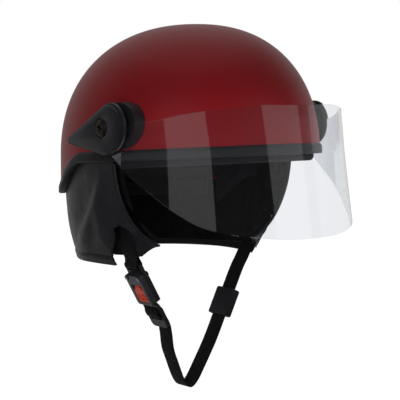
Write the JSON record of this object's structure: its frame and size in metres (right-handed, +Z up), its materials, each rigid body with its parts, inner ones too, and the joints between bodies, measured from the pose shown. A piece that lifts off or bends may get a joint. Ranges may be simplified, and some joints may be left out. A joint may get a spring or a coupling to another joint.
{
  "type": "motorcycle helmet",
  "caption": "Open half-face motorcycle helmet with a swing-up clear visor, a soft ear and neck curtain, and a quick-release chin strap.",
  "frame": {"origin": "centre of the head opening, in the plane of the shell's rim above the ears", "axes": "+Z up through the crown, -Y towards the face, +X to the wearer's left"},
  "size_m": [0.255, 0.3206, 0.354],
  "materials": {
    "red_paint": "satin",
    "black_rubber": "matte",
    "shock_foam": "matte",
    "lining_fabric": "matte",
    "pad_fabric": "matte",
    "leatherette": "satin",
    "black_plastic": "satin",
    "grey_plastic": "satin",
    "steel": "satin",
    "dark_screw": "satin",
    "clear_visor": "gloss",
    "webbing": "matte",
    "orange_plastic": "satin"
  },
  "bodies": {
    "helmet": {"shell": "red_paint", "rim_beading": "black_rubber", "foam_liner": "shock_foam", "crown_lining": "lining_fabric", "brow_pad": "pad_fabric", "nape_pad": "pad_fabric", "side_pad_right": "pad_fabric", "side_pad_left": "pad_fabric", "flap_curtain": "leatherette", "flap_lining": "lining_fabric", "flap_band_right": "leatherette", "flap_band_left": "leatherette", "pivot_base_right": "black_plastic", "pivot_base_left": "black_plastic", "pivot_spacer_right": "black_plastic", "pivot_spacer_left": "black_plastic", "anchor_plate_right": "steel", "anchor_plate_left": "steel", "pivot_nut_right": "steel", "pivot_nut_left": "steel", "pivot_washer_right": "steel", "pivot_washer_left": "steel", "pivot_screw_right": "dark_screw", "pivot_screw_left": "dark_screw", "strap_right": "webbing", "chin_strap": "webbing", "buckle_base": "black_plastic", "buckle_cover": "grey_plastic", "buckle_rivets": "steel", "lever_pin": "steel", "lever_spring": "steel"},
    "visor": {"visor": "clear_visor", "pivot_cover_right": "black_plastic", "pivot_cover_left": "black_plastic"},
    "lever": {"release_lever": "orange_plastic"},
    "tongue": {"buckle_tongue": "black_plastic"},
    "slider": {"strap_slider": "black_plastic"}
  },
  "joints": [
    {"name": "visor_lift", "type": "hinge", "parent": "helmet", "child": "visor", "pos_m": [0, -0.0235, 0.032], "axis": [-1, 0, 0], "range_deg": [0, 60]},
    {"name": "lever_pull", "type": "hinge", "parent": "helmet", "child": "lever", "pos_m": [-0.06538, 0.004, -0.12061], "axis": [0, 1, 0], "range_deg": [0, 25], "stiffness_Nm_per_rad": 0.02, "springref_deg": -11.46},
    {"name": "tongue_release", "type": "slide", "parent": "helmet", "child": "tongue", "axis": [0.5, 0, -0.866], "range_m": [0, 0.03], "deforming": ["chin_strap"]},
    {"name": "slider_slide", "type": "slide", "parent": "helmet", "child": "slider", "axis": [0.4352, 0, 0.9003], "range_m": [-0.014, 0.014]}
  ]
}
